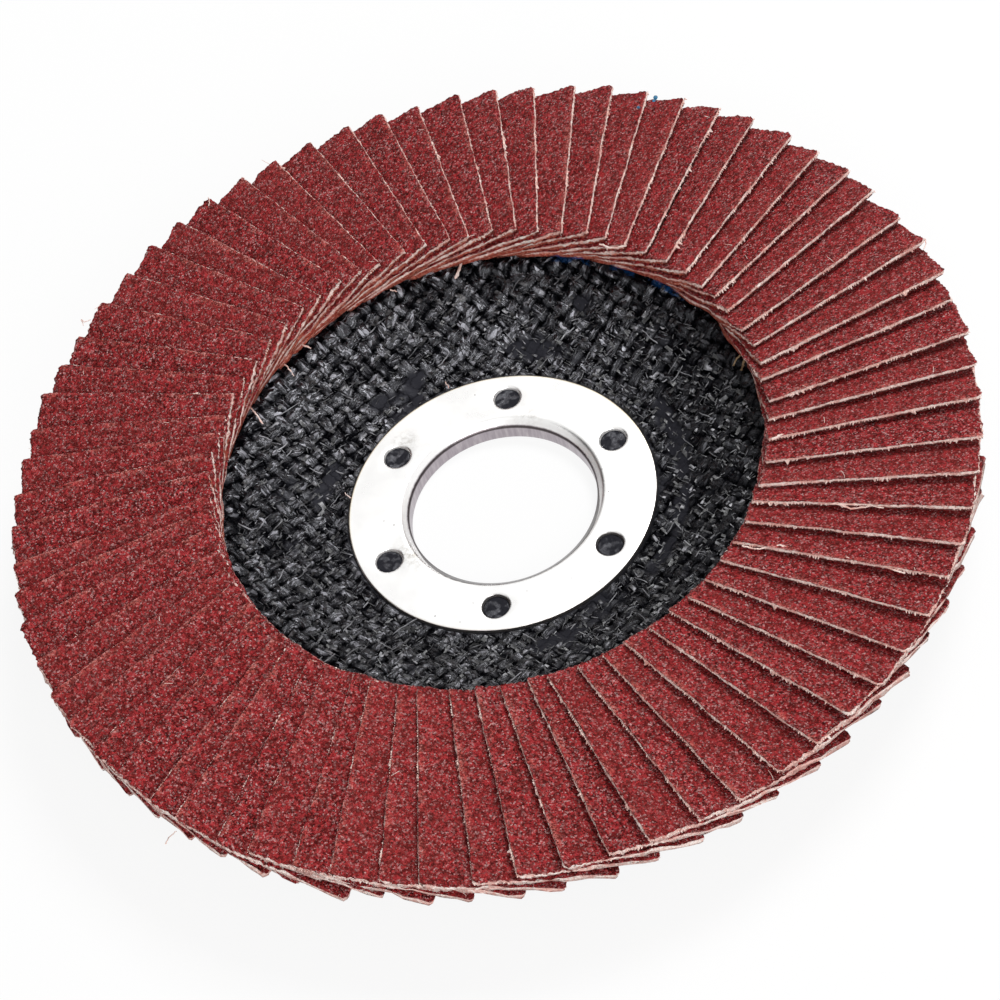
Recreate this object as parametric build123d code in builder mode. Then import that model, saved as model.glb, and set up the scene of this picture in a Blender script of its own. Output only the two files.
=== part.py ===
from build123d import *
from math import asin, cos, hypot, radians, sin
import os

# A flat flap disc for a small angle grinder. Flaps of coated abrasive cloth overlap in a ring, with
# their buried edges in a bed of adhesive on a moulded glass-fibre plate. A pressed steel ring lines
# the bore. Millimetres. Z is the spindle axis and +Z is the abrasive side. Z = 0 is the back of the
# hub, on which the disc lies. A profile is drawn in the XZ plane, so its first value is a radius.

# ---- Arbor ring: one pressing of steel sheet
bore_radius = 22.23 / 2
ring_radius = 18.2  # rim of the flange
ring_sheet = 0.6
mouth_lead = 0.9  # 45 degree lead from the flange into the bore
mouth_radius = 0.6  # rounding between the flange and that lead
ring_proud = 0.45  # flange above the plate round it
collar_recess = 0.1  # end of the collar above the back of the hub
key_hole_count = 6
key_hole_rim_margin = 1.7  # steel between a key hole and the rim of the flange
key_hole_mouth_margin = 1.285  # and between it and the lead of the mouth
key_hole_bevel = 0.3
first_key_hole = 12.8  # degrees from +X

# ---- Backing plate: one moulding of glass mesh and resin
plate_radius = 52.5
plate_thickness = 2.5
hub_radius = 20.2  # flat of the hub's face, up to the shoulder
shoulder_run = 10  # radial width of the shoulder between hub and rim
depression = 4.45  # rim's face above the hub's face
bend_radius = 3.2  # on the hollow side of both bends of the shoulder
key_depth = 0.4  # resin in a key hole, below the flange's face
moulded_gap = 0.03

# ---- Flaps: rectangles of abrasive cloth, tilted and slightly twisted
flap_trios = 24  # three flaps a third of a turn apart are one node
flap_width = 15.2
flap_thickness = 0.8
flap_length = 23.8
flap_overhang = 2.9  # outer ends of the flaps beyond the plate's edge
inner_layer_gap = 0.03  # between neighbours at the inner ends, pressed together
outer_layer_gap = 0.52  # between neighbours at the outer ends, fanned open
inner_seat = 0.94  # lowest corner above the plate's rim, at the inner end
outer_seat = 1.22  # and at the outer end
first_flap = 1.5  # degrees from +X

# ---- Adhesive bed between the plate's rim and the buried edges of the flaps
bed_lead = 1.1  # the bed starts this far inside the flaps' inner ends
bed_margin = 0.3  # and ends this far inside the plate's edge
glue_line = 0.04

# ---- Levels and places that follow
hub_top = plate_thickness
ring_top = hub_top + ring_proud
rim_top = hub_top + depression
rim_start = hub_radius + shoulder_run
key_hole_outside = ring_radius - key_hole_rim_margin
key_hole_inside = bore_radius + mouth_lead + key_hole_mouth_margin
key_hole_radius = (key_hole_outside - key_hole_inside) / 2
key_circle_radius = (key_hole_outside + key_hole_inside) / 2
flap_pitch = 360 / (3 * flap_trios)
flap_outer_end = plate_radius + flap_overhang
flap_inner_end = flap_outer_end - flap_length
bed_start = flap_inner_end - bed_lead
bed_end = plate_radius - bed_margin


def flap_section(radius, layer_gap, seat):
    """Plane across a flap, with X down its slope and its lowest corner a seat above the rim.

    The tilt lays neighbours one thickness and one gap apart at this radius.
    """
    tilt = asin((flap_thickness + layer_gap) / (radius * sin(radians(flap_pitch))))
    middle = rim_top + seat + flap_width / 2 * sin(tilt) + flap_thickness / 2 * cos(tilt)
    return Plane(origin=(radius, 0, middle), x_dir=(0, cos(tilt), -sin(tilt)), z_dir=(1, 0, 0))


def buried_corner(section):
    """Radius and height of the lowest corner of a flap's section."""
    corner = section.from_local_coords((flap_width / 2, -flap_thickness / 2))
    return hypot(corner.X, corner.Y), corner.Z


def ring_face(rim, end_level):
    """The ring's bright face: across the flange, down the 45 degree mouth and down the collar."""
    return Polyline(
        (rim, ring_top),
        (bore_radius + mouth_lead, ring_top),
        (bore_radius, ring_top - mouth_lead),
        (bore_radius, end_level),
    )


def key_places():
    return PolarLocations(key_circle_radius, key_hole_count, start_angle=first_key_hole)


# ---- Arbor ring
with BuildPart() as arbor_ring:
    with BuildSketch(Plane.XZ) as ring_section:
        with BuildLine():
            bright_face = ring_face(ring_radius, collar_recess)
            offset(bright_face, amount=ring_sheet, side=Side.LEFT, kind=Kind.INTERSECTION)
        make_face()
        mouth_corner = ring_section.vertices().sort_by_distance((bore_radius + mouth_lead, ring_top))[0]
        fillet(mouth_corner, mouth_radius)
    revolve(axis=Axis.Z)
    with BuildSketch(Plane.XY.offset(ring_top)):
        with key_places():
            Circle(key_hole_radius)
    extrude(amount=-ring_sheet, mode=Mode.SUBTRACT)
    flange = arbor_ring.faces().filter_by(Plane.XY).sort_by(Axis.Z)[-1]
    pierced_rims = flange.inner_wires().edges().filter_by(lambda rim: rim.radius < bore_radius)
    chamfer(pierced_rims, key_hole_bevel)

# ---- Backing plate: one even wall, recessed for the ring, with resin standing in the key holes
with BuildPart() as backing_plate:
    with BuildSketch(Plane.XZ):
        with BuildLine():
            plate_face = FilletPolyline(
                (bore_radius + ring_sheet + moulded_gap, hub_top),
                (hub_radius, hub_top),
                (rim_start, rim_top),
                (plate_radius, rim_top),
                radius=[bend_radius, bend_radius + plate_thickness],
            )
            offset(plate_face, amount=plate_thickness, side=Side.RIGHT)
        make_face()
        with BuildLine():
            seat_face = ring_face(ring_radius + moulded_gap, -plate_thickness)
            offset(seat_face, amount=ring_sheet + moulded_gap, side=Side.LEFT, kind=Kind.INTERSECTION)
        make_face(mode=Mode.SUBTRACT)
    revolve(axis=Axis.Z)
    with BuildSketch(Plane.XY.offset(ring_top - key_depth)):
        with key_places():
            Circle(key_hole_radius - moulded_gap)
    extrude(until=Until.NEXT, dir=(0, 0, -1))

# ---- Adhesive bed: its top is a cone just under the line that the flaps' lowest corners lie on
inner_section = flap_section(flap_inner_end, inner_layer_gap, inner_seat)
outer_section = flap_section(flap_outer_end, outer_layer_gap, outer_seat)
inner_corner_radius, inner_corner_level = buried_corner(inner_section)
outer_corner_radius, outer_corner_level = buried_corner(outer_section)
bed_slope = (outer_corner_level - inner_corner_level) / (outer_corner_radius - inner_corner_radius)


def bed_level(radius):
    return inner_corner_level - glue_line + bed_slope * (radius - inner_corner_radius)


with BuildPart() as adhesive_bed:
    with BuildSketch(Plane.XZ):
        with BuildLine():
            Polyline(
                (bed_start, rim_top),
                (bed_end, rim_top),
                (bed_end, bed_level(bed_end)),
                (bed_start, bed_level(bed_start)),
                close=True,
            )
        make_face()
    revolve(axis=Axis.Z)

# ---- One flap, ruled from its inner to its outer section
with BuildPart() as flap:
    for section in (inner_section, outer_section):
        with BuildSketch(section):
            Rectangle(flap_width, flap_thickness)
    loft(ruled=True)


# ---- The pieces, each written to its own file
def write_piece(piece, name):
    piece.part.label = name
    export_step(piece.part, f"parts/{name}.step")


os.makedirs("parts", exist_ok=True)
write_piece(arbor_ring, "arbor_ring")
write_piece(backing_plate, "backing_plate")
write_piece(adhesive_bed, "adhesive_bed")

for number in range(flap_trios):
    with BuildPart() as flap_trio:
        with PolarLocations(0, 3, start_angle=first_flap + number * flap_pitch):
            add(flap.part)
    write_piece(flap_trio, f"flap_trio_{number + 1:02d}")
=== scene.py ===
"""A flap disc for an angle grinder: abrasive flaps fanned on a woven plate with a steel arbor ring.

Lengths are in metres. Z is the spindle axis and +Z the abrasive side.
"""
from math import asin, atan2, cos, pi, radians, sin, tan, tau

import bpy
import numpy as np
from mathutils import Matrix, Vector


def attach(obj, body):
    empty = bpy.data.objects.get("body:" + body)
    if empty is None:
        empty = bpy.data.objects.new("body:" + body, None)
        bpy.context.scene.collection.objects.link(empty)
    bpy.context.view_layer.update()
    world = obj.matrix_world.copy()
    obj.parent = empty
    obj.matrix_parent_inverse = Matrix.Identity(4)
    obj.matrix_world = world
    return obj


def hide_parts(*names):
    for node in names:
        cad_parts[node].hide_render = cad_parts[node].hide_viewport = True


MM = 0.001

# ------------------------------------------------------------------------------------------ camera

CAMERA_ELEVATION = radians(52.20)
CAMERA_ROLL = radians(-18.28)
CAMERA_DISTANCE = 357.15 * MM
CAMERA_SLIDE = (-0.157 * MM, -0.102 * MM)
CAMERA_TARGET = (0, 0, 2.95 * MM)
CAMERA_LENS = 111.005  # in millimetres, like the width of the sensor
CAMERA_SENSOR = 36


def place_camera():
    toward = Vector((0, -cos(CAMERA_ELEVATION), sin(CAMERA_ELEVATION)))
    level = Vector((1, 0, 0))
    upright = toward.cross(level)
    across = cos(CAMERA_ROLL) * level + sin(CAMERA_ROLL) * upright
    up = -sin(CAMERA_ROLL) * level + cos(CAMERA_ROLL) * upright
    where = Vector(CAMERA_TARGET) + toward * CAMERA_DISTANCE
    where = where + across * CAMERA_SLIDE[0] + up * CAMERA_SLIDE[1]
    lens = bpy.data.cameras.new("product_camera")
    lens.sensor_fit, lens.sensor_width, lens.lens = "HORIZONTAL", CAMERA_SENSOR, CAMERA_LENS
    lens.clip_start, lens.clip_end = 0.01, 20
    camera = bpy.data.objects.new("product_camera", lens)
    bpy.context.scene.collection.objects.link(camera)
    turn = Matrix((across, up, toward)).transposed().to_4x4()
    camera.matrix_world = Matrix.Translation(where) @ turn
    bpy.context.scene.camera = camera


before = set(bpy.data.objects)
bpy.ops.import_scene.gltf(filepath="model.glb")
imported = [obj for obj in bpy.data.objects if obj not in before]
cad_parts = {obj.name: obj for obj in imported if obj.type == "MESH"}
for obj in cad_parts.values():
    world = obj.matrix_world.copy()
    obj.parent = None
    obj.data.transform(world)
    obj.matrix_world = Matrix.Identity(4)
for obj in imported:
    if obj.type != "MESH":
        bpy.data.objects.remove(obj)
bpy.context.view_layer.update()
place_camera()

# ------------------------------------------------------------------------------------------- sizes

BORE_RADIUS = 11.115 * MM
RING_RADIUS = 18.2 * MM
RING_SHEET = 0.6 * MM
RING_TOP = 2.95 * MM
MOUTH_LEAD = 0.9 * MM
COLLAR_RECESS = 0.1 * MM
KEY_HOLES = 6
KEY_HOLE_RADIUS = 1.6 * MM
KEY_CIRCLE_RADIUS = 14.9 * MM
FIRST_KEY_HOLE = radians(12.8)
KEY_DEPTH = 0.4 * MM
KEY_PLUG_DEPTH = 0.5 * MM

PLATE_RADIUS = 52.5 * MM
PLATE_THICKNESS = 2.5 * MM
HUB_RADIUS = 20.2 * MM
SHOULDER_RUN = 10 * MM
DEPRESSION = 4.45 * MM
RIM_TOP = PLATE_THICKNESS + DEPRESSION
YARN_PITCH = 1.7 * MM
YARN_DIRECTION = radians(32)

FLAPS = 72
TRIOS = 24
FLAP_PITCH = tau / FLAPS
FIRST_FLAP = radians(1.5)
FLAP_WIDTH_MM = 15.2  # the cloth is drawn flat in millimetres, then laid in metres
FLAP_LENGTH_MM = 23.8
FLAP_WIDTH = FLAP_WIDTH_MM * MM
FLAP_LENGTH = FLAP_LENGTH_MM * MM
FLAP_THICKNESS = 0.8 * MM
FLAP_INNER_END = 31.6 * MM
INNER_LAYER_GAP = 0.03 * MM
OUTER_LAYER_GAP = 0.52 * MM
INNER_SEAT = 0.94 * MM
OUTER_SEAT = 1.22 * MM
FLAP_OUTER_END = FLAP_INNER_END + FLAP_LENGTH

BED_START = 30.5 * MM
BED_END = 52.2 * MM

FINE_SIDES = 840  # round the disc, where the surface shows
COARSE_SIDES = 280  # and where it is covered
WELD = 0.002 * MM  # points of repeated parts nearer than this become one

# --------------------------------------------------------------------------------- node-tree helpers


class Tree:
    """Adds nodes to a node tree. A value given for an input is a socket to link, or a constant."""

    def __init__(self, tree):
        self.tree = tree

    def add(self, kind, *values, **settings):
        """A new node: positional values go to its inputs in order, settings are its properties, and a
        setting called `given` is a dict of inputs by name or place."""
        node = self.tree.nodes.new(kind)
        given = settings.pop("given", {})
        for name, value in settings.items():
            setattr(node, name, value)
        for place, value in enumerate(values):
            self.feed(node.inputs[place], value)
        for place, value in given.items():
            self.feed(node.inputs[place], value)
        return node

    def feed(self, socket, value):
        if value is None:
            return
        if isinstance(value, bpy.types.NodeSocket):
            self.tree.links.new(value, socket)
        elif isinstance(value, bpy.types.Node):
            self.tree.links.new(value.outputs[0], socket)
        else:
            socket.default_value = value

    def math(self, operation, *values):
        return self.add("ShaderNodeMath", *values, operation=operation).outputs[0]

    def plus(self, a, b):
        return self.math("ADD", a, b)

    def minus(self, a, b):
        return self.math("SUBTRACT", a, b)

    def times(self, a, b):
        return self.math("MULTIPLY", a, b)

    def over(self, a, b):
        return self.math("DIVIDE", a, b)

    def blend(self, share, low, high):
        """low where share is 0, high where it is 1."""
        return self.plus(low, self.times(share, self.minus(high, low)))

    def band(self, value, start, end, low=0.0, high=1.0):
        """A smooth step of value from low at start to high at end."""
        node = self.add("ShaderNodeMapRange", value, start, end, low, high,
                        interpolation_type="SMOOTHSTEP")
        return node.outputs[0]

    def xyz(self, vector):
        node = self.add("ShaderNodeSeparateXYZ", vector)
        return node.outputs[0], node.outputs[1], node.outputs[2]

    def vector(self, x, y, z):
        return self.add("ShaderNodeCombineXYZ", x, y, z).outputs[0]

    def vectors(self, operation, *values):
        return self.add("ShaderNodeVectorMath", *values, operation=operation).outputs[0]

    def scaled(self, vector, amount):
        return self.add("ShaderNodeVectorMath", vector, operation="SCALE", given={"Scale": amount})

    def from_axis(self, x, y):
        """Distance from the spindle axis."""
        return self.math("SQRT", self.plus(self.times(x, x), self.times(y, y)))

    def noise(self, where, scale, detail=2.0, roughness=0.5, colour=False):
        node = self.add("ShaderNodeTexNoise", given={"Vector": where, "Scale": scale, "Detail": detail,
                                                     "Roughness": roughness})
        return node.outputs["Color" if colour else "Fac"]

    def drift(self, where, scale, detail, roughness=0.5):
        """A vector that wanders evenly to all sides."""
        return self.centred(self.noise(where, scale, detail, roughness, colour=True))

    def centred(self, colour):
        return self.vectors("SUBTRACT", colour, (0.5, 0.5, 0.5))

    def chance(self, low, high, seed, number=None):
        """A random value for each thing, or for each number; a vector where low and high are."""
        kind, first = ("FLOAT_VECTOR", 0) if isinstance(low, tuple) else ("FLOAT", 2)
        draw = self.add("FunctionNodeRandomValue", data_type=kind,
                        given={first: low, first + 1: high, 7: number, 8: seed})
        return draw.outputs[first // 2]

    def named(self, name, kind="FLOAT"):
        return self.add("GeometryNodeInputNamedAttribute", name, data_type=kind).outputs[0]

    def position(self):
        return self.add("GeometryNodeInputPosition").outputs[0]

    def store(self, geometry, name, value, kind="FLOAT", domain="POINT"):
        return self.add("GeometryNodeStoreNamedAttribute", geometry, None, name, value,
                        data_type=kind, domain=domain)

    def moved(self, geometry, offset):
        return self.add("GeometryNodeSetPosition", geometry, None, None, offset)

    def realized(self, geometry):
        return self.add("GeometryNodeRealizeInstances", geometry)

    def welded(self, geometry):
        return self.add("GeometryNodeMergeByDistance", geometry, given={"Distance": WELD})

    def smooth(self, geometry):
        return self.add("GeometryNodeSetShadeSmooth", geometry, None, True)

    def made_of(self, geometry, material):
        return self.add("GeometryNodeSetMaterial", geometry, None, material)

    def joined(self, *parts):
        whole = self.add("GeometryNodeJoinGeometry")
        for part in parts:
            self.feed(whole.inputs[0], part)
        return whole


def geometry_tree(name, sizes):
    """A geometry node tree with its own geometry as first input, then the named sizes as floats, whole
    numbers or materials."""
    kinds = {float: "NodeSocketFloat", int: "NodeSocketInt", str: "NodeSocketMaterial"}
    tree = bpy.data.node_groups.new(name, "GeometryNodeTree")
    tree.interface.new_socket("Geometry", in_out="INPUT", socket_type="NodeSocketGeometry")
    for label, kind in sizes.items():
        tree.interface.new_socket(label, in_out="INPUT", socket_type=kinds[kind])
    tree.interface.new_socket("Geometry", in_out="OUTPUT", socket_type="NodeSocketGeometry")
    graph = Tree(tree)
    given = tree.nodes.new("NodeGroupInput").outputs
    return graph, given


def close_tree(graph, geometry):
    graph.add("NodeGroupOutput", geometry)
    return graph.tree


def grow(name, mesh, tree, values):
    """Runs a geometry tree on a mesh with these input values, and returns a piece with a plain mesh."""
    seed = bpy.data.objects.new(name + "_seed", mesh)
    bpy.context.scene.collection.objects.link(seed)
    modifier = seed.modifiers.new(tree.name, "NODES")
    modifier.node_group = tree
    sockets = {item.name: item.identifier for item in tree.interface.items_tree
               if item.in_out == "INPUT"}
    for label, value in values.items():
        modifier[sockets[label]] = value
    bpy.context.view_layer.update()
    grown = bpy.data.meshes.new_from_object(seed.evaluated_get(bpy.context.evaluated_depsgraph_get()))
    bpy.data.objects.remove(seed)
    piece = bpy.data.objects.new(name, grown)
    grown.name = name
    bpy.context.scene.collection.objects.link(piece)
    return piece


def plain_mesh(name, places, faces):
    mesh = bpy.data.meshes.new(name)
    mesh.from_pydata([tuple(place) for place in places], [], [tuple(face) for face in faces])
    mesh.validate()
    mesh.shade_smooth()
    return mesh


def point_values(mesh, name, values, kind="FLOAT"):
    """Stores one value for each of the mesh's points."""
    data = mesh.attributes.new(name, kind, "POINT").data
    flat = np.asarray(values, dtype=np.float32).ravel()
    data.foreach_set("value" if kind == "FLOAT" else "vector", flat)


def settle(piece, material_slot, *nodes):
    """The piece rides on the disc's one body and stands for these CAD nodes."""
    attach(piece, "root")
    if nodes:
        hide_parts(*nodes)


# ---------------------------------------------------------------------------------------- finishes


def finish_tree(name):
    material = bpy.data.materials.new(name)
    material.use_nodes = True
    material.node_tree.nodes.clear()
    return material, Tree(material.node_tree)


def placed_finish(name):
    """A finish tree, and the place on the object that its patterns follow."""
    material, graph = finish_tree(name)
    return material, graph, graph.add("ShaderNodeTexCoord").outputs["Object"]


def surface(graph, colour, roughness, bump, bump_depth, bump_strength=1.0, **others):
    """A Principled surface with a bump whose height runs from 0 to 1 over bump_depth. Its other inputs
    go by their own names."""
    normal = graph.add("ShaderNodeBump", given={"Strength": bump_strength, "Distance": bump_depth,
                                                "Height": bump})
    shader = graph.add("ShaderNodeBsdfPrincipled", given={"Base Color": colour, "Roughness": roughness,
                                                          "Normal": normal})
    for label, value in others.items():
        graph.feed(shader.inputs[label.replace("_", " ")], value)
    graph.add("ShaderNodeOutputMaterial", shader)


def tints(graph, share, *stops):
    """A colour ramp: each stop is a place and a colour."""
    node = graph.add("ShaderNodeValToRGB", share)
    ramp = node.color_ramp
    while len(ramp.elements) < len(stops):
        ramp.elements.new(0.5)
    for element, (place, colour) in zip(ramp.elements, stops):
        element.position = place
        element.color = (*colour, 1)
    return node.outputs[0]


def mix(graph, share, low, high):
    """The colour low where share is 0, high where it is 1."""
    node = graph.add("ShaderNodeMix", share, data_type="RGBA")
    for socket, colour in zip(node.inputs[6:8], (low, high)):
        graph.feed(socket, colour if isinstance(colour, bpy.types.NodeSocket) else (*colour, 1))
    return node.outputs[2]


def cells(graph, where, scale):
    return graph.add("ShaderNodeTexVoronoi", given={"Vector": where, "Scale": scale})


def attribute(graph, name):
    return graph.add("ShaderNodeAttribute", attribute_name=name)


BLUE_PAINT = ((radians(58.2), radians(5)), (radians(46), radians(4)), (radians(35), radians(6)))


def blue_paint_mask(graph, place):
    """Where traces of blue paint were left between the flaps' inner ends and the plate."""
    x, y, _ = graph.xyz(place)
    ragged = graph.times(graph.minus(graph.noise(place, 900, 3.0), 0.5), 0.09)
    angle = graph.plus(graph.math("ARCTAN2", y, x), ragged)
    mask = 0.0
    for middle, spread in BLUE_PAINT:
        off = graph.math("ABSOLUTE", graph.minus(angle, middle))
        mask = graph.plus(mask, graph.band(off, spread, spread * 0.55))
    return mask


def abrasive_cloth_finish():
    """Red-brown grit in resin on the face, a cream cotton cut at the edges.

    The flap_place attribute runs across the flap from its exposed edge, along it, and down from the
    grit, in millimetres."""
    material, g, place = placed_finish("abrasive_cloth")
    across, along, down = g.xyz(attribute(g, "flap_place").outputs["Vector"])
    tone = attribute(g, "flap_tone").outputs["Fac"]
    x, y, z = g.xyz(place)
    radius = g.from_axis(x, y)

    fine = cells(g, place, 6200)
    coarse = cells(g, place, 3900)
    fine_pick = g.xyz(fine.outputs["Color"])[0]
    coarse_pick = g.xyz(coarse.outputs["Color"])[1]
    grains = tints(g, fine_pick, (0.0, (0.010, 0.001, 0.001)), (0.26, (0.035, 0.002, 0.002)),
                   (0.46, (0.20, 0.012, 0.014)), (0.74, (0.60, 0.050, 0.052)),
                   (0.86, (0.30, 0.115, 0.115)), (1.0, (0.86, 0.56, 0.55)))
    big_grains = tints(g, coarse_pick, (0.0, (0.015, 0.001, 0.001)), (0.3, (0.07, 0.004, 0.005)),
                       (0.75, (0.52, 0.040, 0.044)), (0.93, (0.34, 0.13, 0.125)),
                       (1.0, (0.72, 0.42, 0.41)))
    grit = mix(g, 0.36, grains, big_grains)
    blotch = g.noise(place, 330, 3.0, 0.6)
    grit = mix(g, g.band(blotch, 0.35, 0.7, 0.0, 0.3), grit, (0.15, 0.012, 0.011))
    mottle = g.noise(place, 1500, 3.0, 0.6)
    grit = mix(g, g.band(mottle, 0.5, 0.36, 0.0, 0.6), grit, (0.075, 0.009, 0.007))
    grit = mix(g, g.band(mottle, 0.52, 0.68, 0.0, 0.5), grit, (0.50, 0.040, 0.050))
    grit = mix(g, g.times(tone, 0.18), grit, (0.30, 0.04, 0.037))
    ragged = g.minus(g.noise(place, 2300, 3.0, 0.65), 0.5)
    from_end = g.math("MINIMUM", along, g.minus(FLAP_LENGTH_MM, along))
    from_cut = g.math("MINIMUM", across, g.times(from_end, 1.3))
    worn = g.band(g.plus(across, g.times(ragged, 2.4)), 0.9, 0.1)
    patchy = g.noise(place, 420, 2.0, 0.6)
    grainy = g.band(fine_pick, 0.35, 0.6, 0.2, 1.0)
    worn = g.times(g.times(worn, grainy), g.band(patchy, 0.44, 0.62, 0.0, 0.4))
    grit = mix(g, worn, grit, (0.70, 0.20, 0.16))

    weave = g.noise(place, 3000, 2.0, 0.6)
    cloth = tints(g, weave, (0.25, (0.46, 0.20, 0.17)), (0.40, (0.82, 0.57, 0.51)),
                  (0.54, (0.92, 0.79, 0.73)), (0.8, (0.94, 0.86, 0.82)))
    rosy = g.band(g.plus(g.noise(place, 380, 2.0, 0.6), g.times(ragged, 0.35)), 0.44, 0.62, 0.0, 0.62)
    cloth = mix(g, rosy, cloth, (0.70, 0.30, 0.25))
    inside = g.band(radius, 33.4 * MM, 32.2 * MM)
    low = g.band(z, 13.2 * MM, 12.4 * MM, 0.15, 1.0)
    streak = g.noise(place, 260, 2.0, 0.6)
    thick = g.minus(g.plus(down, g.times(ragged, 0.6)), g.band(z, 9.5 * MM, 11.5 * MM, 0.0, 0.16))
    pale_line = g.times(g.band(down, 0.02, 0.08), g.band(thick, 0.38, 0.24))
    soaked = g.plus(g.band(streak, 0.35, 0.65, 0.0, 0.2), g.band(z, 11 * MM, 8.5 * MM, 0.0, 0.3))
    stain = g.times(g.times(inside, low), g.blend(pale_line, 0.97, soaked))
    stained = mix(g, g.band(weave, 0.4, 0.62), (0.44, 0.065, 0.042), (0.66, 0.21, 0.14))
    cloth = mix(g, stain, cloth, stained)
    side = g.band(across, 0.7, 0.3)
    depth = g.minus(g.plus(down, g.times(ragged, 0.35)), g.band(patchy, 0.52, 0.66, 0.0, 0.3))
    shaded = g.times(g.band(depth, 0.30, 0.44), g.blend(side, 0.4, 0.92))
    cloth = mix(g, shaded, cloth, (0.13, 0.024, 0.018))
    foot = g.band(g.plus(z, g.times(ragged, 1 * MM)), 8.8 * MM, 8.4 * MM)
    blue = g.times(blue_paint_mask(g, place), foot)
    cloth = mix(g, g.times(blue, 0.85), cloth, (0.012, 0.075, 0.24))

    chipped = g.band(g.plus(from_cut, g.times(ragged, 0.5)), g.blend(patchy, -0.05, 0.28), -0.1)
    chipped = g.times(g.times(chipped, grainy), g.band(patchy, 0.44, 0.62, 0.0, 0.9))
    grit = mix(g, chipped, grit, (0.66, 0.33, 0.30))
    cut = g.band(g.plus(down, g.times(ragged, 0.2)), 0.045, 0.10)
    colour = mix(g, cut, grit, cloth)

    grit_height = g.plus(g.times(g.minus(1.0, fine.outputs["Distance"]), 0.5),
                         g.times(g.minus(1.0, coarse.outputs["Distance"]), 0.5))
    height = g.blend(cut, grit_height, weave)
    surface(g, colour, g.blend(cut, 0.55, 0.9), height, 0.3 * MM, 0.9, Specular_IOR_Level=0.06)
    return material


def thread_finish(name, dark, middle, pale):
    material, g, place = placed_finish(name)
    colour = tints(g, g.noise(place, 900, 2.0), (0.3, dark), (0.5, middle), (0.75, pale))
    roughness = g.band(g.noise(place, 2000, 1.0), 0.3, 0.7, 0.8, 0.95)
    surface(g, colour, roughness, g.noise(place, 6000, 1.0), 0.03 * MM, Specular_IOR_Level=0.2)
    return material


def blue_paint_finish():
    material, g, place = placed_finish("blue_paint")
    colour = tints(g, g.noise(place, 2500, 3.0), (0.35, (0.006, 0.05, 0.11)),
                   (0.65, (0.03, 0.20, 0.36)))
    roughness = g.band(g.noise(place, 1500, 2.0), 0.3, 0.7, 0.35, 0.6)
    surface(g, colour, roughness, g.noise(place, 4000, 2.0), 0.05 * MM, Specular_IOR_Level=0.4)
    return material


def woven_resin_finish(name, painted=False):
    """Black phenolic resin over glass yarns, broken into small flat flakes: the yarn attribute runs
    along and across each yarn, and the rise attribute from the gaps to the tops of the yarns."""
    material, g, place = placed_finish(name)
    woven = attribute(g, "woven").outputs["Fac"]
    along, across, pick = g.xyz(attribute(g, "yarn").outputs["Vector"])
    drawn_out = g.vector(g.times(along, 1.3), g.times(across, 8.0), g.times(pick, 9.0))
    strands = g.noise(drawn_out, 1.0, 2.0, 0.6)
    crumbs = g.noise(place, 1500, 3.0, 0.65)
    spread = g.vector(g.times(along, 2.4), g.times(across, 5.0), g.times(pick, 5.0))
    flakes = cells(g, spread, 1.0)
    lean = g.centred(flakes.outputs["Color"])
    off_middle = g.vectors("SUBTRACT", spread, flakes.outputs["Position"])
    facet = g.add("ShaderNodeVectorMath", off_middle, lean, operation="DOT_PRODUCT").outputs["Value"]
    pieces = g.plus(g.times(facet, 1.4), g.plus(g.times(strands, 0.4), g.times(crumbs, 0.2)))
    height = g.blend(woven, g.times(crumbs, 0.4), pieces)
    top = g.band(attribute(g, "rise").outputs["Fac"], 0.25, 0.95)
    tone = g.xyz(flakes.outputs["Color"])[0]
    pale = g.plus(g.times(g.band(strands, 0.55, 0.64), g.band(tone, 0.2, 0.9, 0.15, 0.8)),
                  g.band(tone, 0.82, 0.97, 0.0, 0.7))
    x, y, _ = g.xyz(place)
    # Painted light: bared glass on the yarn tops is painted paler, and its sheen below made stronger,
    # towards -X and towards +Y; towards +X both fall off, as painted shade.
    to_lit_side = g.minus(g.times(y, 0.45), g.times(x, 0.9))
    lit_side = g.times(g.band(to_lit_side, -22 * MM, -6 * MM, 0.2, 1.0),
                    g.band(y, 8 * MM, 20 * MM, 1.0, 1.7))
    black = mix(g, woven, (0.024, 0.024, 0.030), (0.002, 0.002, 0.0032))
    bared = g.times(g.times(g.times(pale, lit_side), woven), top)
    colour = mix(g, bared, black, (0.36, 0.36, 0.40))
    if painted:
        ragged = g.plus(g.from_axis(x, y), g.times(g.minus(crumbs, 0.5), 1.2 * MM))
        foot = g.times(g.band(ragged, 31.55 * MM, 31.7 * MM),
                       g.band(g.noise(place, 700, 2.0), 0.42, 0.52))
        colour = mix(g, g.times(blue_paint_mask(g, place), foot), colour, (0.007, 0.042, 0.13))
    roughness = g.blend(woven, 0.5, g.band(crumbs, 0.3, 0.7, 0.12, 0.38))
    # Painted highlight: the sheen is stronger on the side that the painted light above favours.
    sheen = g.times(g.blend(woven, 0.5, 0.7), g.band(lit_side, 0.2, 1.7, 0.55, 1.35))
    # Painted shade: where rise is low, in the gaps between the yarns, the Specular IOR Level drops to
    # 0.03.
    surface(g, colour, roughness, height, 0.4 * MM, 0.95, Specular_Tint=(0.92, 0.93, 1.0, 1.0),
            Specular_IOR_Level=g.blend(top, 0.03, sheen))
    return material


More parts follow.
